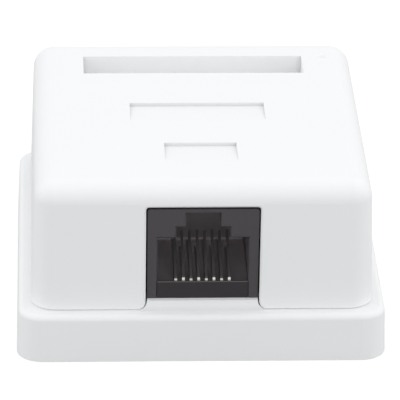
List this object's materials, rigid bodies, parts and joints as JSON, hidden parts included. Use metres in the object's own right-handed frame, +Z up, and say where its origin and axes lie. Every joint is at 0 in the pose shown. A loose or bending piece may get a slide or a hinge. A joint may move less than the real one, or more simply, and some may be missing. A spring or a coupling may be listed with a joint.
{
  "type": "surface mount jack box",
  "caption": "White surface mount box with a modular jack in its front wall, a lift-off cover and a screw-down base.",
  "frame": {"origin": "centre of the underside, where the box meets the wall or table", "axes": "+Z up out of the cover, the jack looks along -Y, +X to the right seen from the front"},
  "size_m": [0.0494, 0.0516, 0.0248],
  "materials": {
    "white_plastic": "satin moulded",
    "dark_plastic": "dark grey moulded",
    "contact_gold": "gold plated",
    "blade_metal": "tin plated",
    "board_laminate": "green solder mask",
    "block_plastic": "moulded",
    "cap_plastic": "moulded",
    "pad_foam": "closed-cell foam"
  },
  "bodies": {
    "base_body": {"base": "white_plastic", "jack_housing": "dark_plastic", "contact_insert": "dark_plastic", "circuit_board": "board_laminate", "adhesive_pad": "pad_foam", "idc_block_left": "block_plastic", "idc_block_right": "block_plastic", "idc_cap_left": "cap_plastic", "idc_cap_right": "cap_plastic", "jack_contact_1": "contact_gold", "jack_contact_2": "contact_gold", "jack_contact_3": "contact_gold", "jack_contact_4": "contact_gold", "jack_contact_5": "contact_gold", "jack_contact_6": "contact_gold", "jack_contact_7": "contact_gold", "jack_contact_8": "contact_gold", "idc_contact_1": "blade_metal", "idc_contact_2": "blade_metal", "idc_contact_3": "blade_metal", "idc_contact_4": "blade_metal", "idc_contact_5": "blade_metal", "idc_contact_6": "blade_metal", "idc_contact_7": "blade_metal", "idc_contact_8": "blade_metal"},
    "cover_body": {"cover": "white_plastic"}
  },
  "joints": [
    {"name": "cover_lift", "type": "slide", "parent": "base_body", "child": "cover_body", "axis": [0, 0, 1], "range_m": [0, 0.03]}
  ]
}
